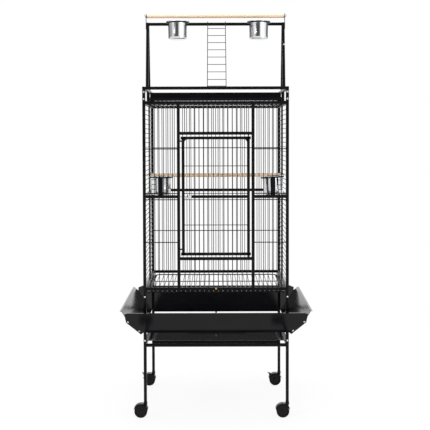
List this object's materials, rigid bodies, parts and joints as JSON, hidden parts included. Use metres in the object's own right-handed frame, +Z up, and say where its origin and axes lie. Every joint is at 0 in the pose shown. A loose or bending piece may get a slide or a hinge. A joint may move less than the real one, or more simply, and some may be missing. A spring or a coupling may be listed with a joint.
{
  "type": "bird cage on stand",
  "caption": "Black metal play-top bird cage on a rolling stand, with swinging door, pull-out trays and grate, lift-out cups, perches, ladder, seed guards and swivel casters.",
  "frame": {"origin": "on the floor, midway between the four corner posts of the cage", "axes": "+Z up, the door faces -Y, +X to the right seen from the front"},
  "size_m": [0.7972, 0.7742, 1.724],
  "materials": {
    "powder_coat": "semi-gloss black powder coat",
    "sheet_black": "glossy black powder coat on sheet metal",
    "cup_steel": "polished stainless steel",
    "zinc": "zinc plated",
    "dark_hardware": "dark coated hardware",
    "brass_knob": "satin",
    "perch_wood": "bare pine",
    "ladder_wire": "grey plated wire",
    "caster_plastic": "moulded black nylon",
    "wheel_plastic": "moulded black nylon"
  },
  "bodies": {
    "frame": {"leg_front_left": "powder_coat", "leg_front_right": "powder_coat", "leg_rear_left": "powder_coat", "leg_rear_right": "powder_coat", "stand_rails": "powder_coat", "tray_runners": "powder_coat", "leg_sockets": "caster_plastic", "frame_bolts": "zinc", "front_left_wing": "powder_coat", "front_right_wing": "powder_coat", "front_upper_panel": "powder_coat", "front_lower_panel": "powder_coat", "back_panel": "powder_coat", "left_panel": "powder_coat", "right_panel": "powder_coat", "roof_panel": "powder_coat", "rear_rail_caps": "powder_coat", "door_hinge_pins": "dark_hardware", "door_stops": "powder_coat", "front_knob": "brass_knob", "grate_runners": "powder_coat", "seed_guard_front": "sheet_black", "seed_guard_rear": "sheet_black", "seed_guard_left": "sheet_black", "seed_guard_right": "sheet_black", "seed_guard_bolts": "zinc", "seed_guard_screws": "dark_hardware", "play_top_posts": "powder_coat", "play_top_rails": "powder_coat", "play_tray_runners": "powder_coat", "support_left": "powder_coat", "support_right": "powder_coat", "support_bolt": "zinc", "crossbar": "powder_coat", "perch_brackets": "dark_hardware", "top_perch": "perch_wood", "top_perch_screws": "zinc", "cage_perch": "perch_wood", "cage_perch_screws": "zinc", "cup_holders": "powder_coat"},
    "main_door": {"main_door": "powder_coat"},
    "door_latch": {"door_latch": "zinc"},
    "grate": {"grate": "powder_coat"},
    "bottom_tray": {"bottom_tray": "sheet_black"},
    "play_tray": {"play_tray": "sheet_black"},
    "cup_top_left": {"cup_top_left": "cup_steel"},
    "cup_top_right": {"cup_top_right": "cup_steel"},
    "cup_cage_left": {"cup_cage_left": "cup_steel"},
    "cup_cage_right": {"cup_cage_right": "cup_steel"},
    "ladder": {"ladder": "ladder_wire"},
    "caster_front_left": {"caster_front_left": "caster_plastic"},
    "caster_front_right": {"caster_front_right": "caster_plastic"},
    "caster_rear_left": {"caster_rear_left": "caster_plastic"},
    "caster_rear_right": {"caster_rear_right": "caster_plastic"},
    "wheels_front_left": {"wheels_front_left": "wheel_plastic"},
    "wheels_front_right": {"wheels_front_right": "wheel_plastic"},
    "wheels_rear_left": {"wheels_rear_left": "wheel_plastic"},
    "wheels_rear_right": {"wheels_rear_right": "wheel_plastic"},
    "brake_lever_left": {"brake_lever_left": "caster_plastic"},
    "brake_lever_right": {"brake_lever_right": "caster_plastic"}
  },
  "joints": [
    {"name": "main_door_hinge", "type": "hinge", "parent": "frame", "child": "main_door", "pos_m": [0.13615, -0.27315, 0.932], "axis": [0, 0, 1], "range_deg": [0, 120]},
    {"name": "door_latch_slide", "type": "slide", "parent": "main_door", "child": "door_latch", "axis": [1, 0, 0], "range_m": [0, 0.011]},
    {"name": "grate_slide", "type": "slide", "parent": "frame", "child": "grate", "axis": [0, -1, 0], "range_m": [0, 0.45]},
    {"name": "bottom_tray_slide", "type": "slide", "parent": "frame", "child": "bottom_tray", "axis": [0, -1, 0], "range_m": [0, 0.45]},
    {"name": "play_tray_slide", "type": "slide", "parent": "frame", "child": "play_tray", "axis": [0, -1, 0], "range_m": [0, 0.45]},
    {"name": "cup_top_left_lift", "type": "slide", "parent": "frame", "child": "cup_top_left", "axis": [0, 0, 1], "range_m": [0, 0.12]},
    {"name": "cup_top_right_lift", "type": "slide", "parent": "frame", "child": "cup_top_right", "axis": [0, 0, 1], "range_m": [0, 0.12]},
    {"name": "cup_cage_left_lift", "type": "slide", "parent": "frame", "child": "cup_cage_left", "axis": [0, 0, 1], "range_m": [0, 0.1]},
    {"name": "cup_cage_right_lift", "type": "slide", "parent": "frame", "child": "cup_cage_right", "axis": [-0.0698, 0, 0.9976], "range_m": [0, 0.1]},
    {"name": "ladder_swing", "type": "hinge", "parent": "frame", "child": "ladder", "pos_m": [0, 0, 1.677], "axis": [-1, 0, 0], "range_deg": [0, 90]},
    {"name": "caster_front_left_swivel", "type": "hinge", "parent": "frame", "child": "caster_front_left", "pos_m": [-0.29865, -0.27315, 0.0625], "axis": [0, 0, 1], "continuous": true},
    {"name": "wheels_front_left_spin", "type": "hinge", "parent": "caster_front_left", "child": "wheels_front_left", "pos_m": [-0.31765, -0.27315, 0.027], "axis": [0, 1, 0], "continuous": true},
    {"name": "caster_front_right_swivel", "type": "hinge", "parent": "frame", "child": "caster_front_right", "pos_m": [0.29865, -0.27315, 0.0625], "axis": [0, 0, 1], "continuous": true},
    {"name": "wheels_front_right_spin", "type": "hinge", "parent": "caster_front_right", "child": "wheels_front_right", "pos_m": [0.27965, -0.27315, 0.027], "axis": [0, 1, 0], "continuous": true},
    {"name": "caster_rear_left_swivel", "type": "hinge", "parent": "frame", "child": "caster_rear_left", "pos_m": [-0.29865, 0.27315, 0.0625], "axis": [0, 0, 1], "continuous": true},
    {"name": "wheels_rear_left_spin", "type": "hinge", "parent": "caster_rear_left", "child": "wheels_rear_left", "pos_m": [-0.31765, 0.27315, 0.027], "axis": [0, 1, 0], "continuous": true},
    {"name": "caster_rear_right_swivel", "type": "hinge", "parent": "frame", "child": "caster_rear_right", "pos_m": [0.29865, 0.27315, 0.0625], "axis": [0, 0, 1], "continuous": true},
    {"name": "wheels_rear_right_spin", "type": "hinge", "parent": "caster_rear_right", "child": "wheels_rear_right", "pos_m": [0.27965, 0.27315, 0.027], "axis": [0, 1, 0], "continuous": true},
    {"name": "brake_left_press", "type": "hinge", "parent": "caster_rear_left", "child": "brake_lever_left", "pos_m": [-0.34275, 0.27315, 0.0521], "axis": [0, -1, 0], "range_deg": [0, 20]},
    {"name": "brake_right_press", "type": "hinge", "parent": "caster_rear_right", "child": "brake_lever_right", "pos_m": [0.25455, 0.27315, 0.0521], "axis": [0, -1, 0], "range_deg": [0, 20]}
  ]
}
